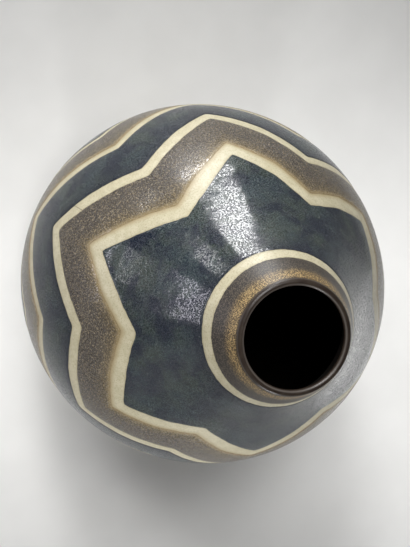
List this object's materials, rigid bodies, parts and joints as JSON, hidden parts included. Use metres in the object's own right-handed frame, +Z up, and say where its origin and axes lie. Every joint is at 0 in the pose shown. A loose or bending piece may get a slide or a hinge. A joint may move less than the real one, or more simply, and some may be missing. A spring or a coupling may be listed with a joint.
{
  "type": "vase",
  "caption": "Egg-shaped stoneware vase with a hollow-curved neck, small round mouth, foot ring and zigzag bands of blue and brown glaze between cream lines.",
  "frame": {"origin": "on the table, under the middle of the foot ring", "axes": "+Z up along the vase's axis to the mouth; -Y is the side turned to the picture's camera"},
  "size_m": [0.22, 0.22, 0.305],
  "materials": {
    "clay": "matte",
    "liner_glaze": "gloss",
    "lip_glaze": "gloss",
    "neck_glaze": "satin",
    "cream_glaze": "satin",
    "blue_glaze": "satin",
    "brown_glaze": "satin"
  },
  "bodies": {
    "root": {"foot_ring": "clay", "bowl": "clay", "shoulder": "clay", "neck_collar": "clay", "liner_glaze": "liner_glaze", "lip_glaze": "lip_glaze", "neck_band": "neck_glaze", "neck_ring": "cream_glaze", "star_field": "blue_glaze", "zigzag_line_1": "cream_glaze", "brown_band_1": "brown_glaze", "zigzag_line_2": "cream_glaze", "blue_band_1": "blue_glaze", "zigzag_line_3": "cream_glaze", "brown_band_2": "brown_glaze", "zigzag_line_4": "cream_glaze", "blue_band_2": "blue_glaze", "zigzag_line_5": "cream_glaze", "brown_band_3": "brown_glaze", "zigzag_line_6": "cream_glaze", "lower_field": "blue_glaze", "foot_line": "cream_glaze", "foot_band": "brown_glaze"}
  },
  "joints": []
}
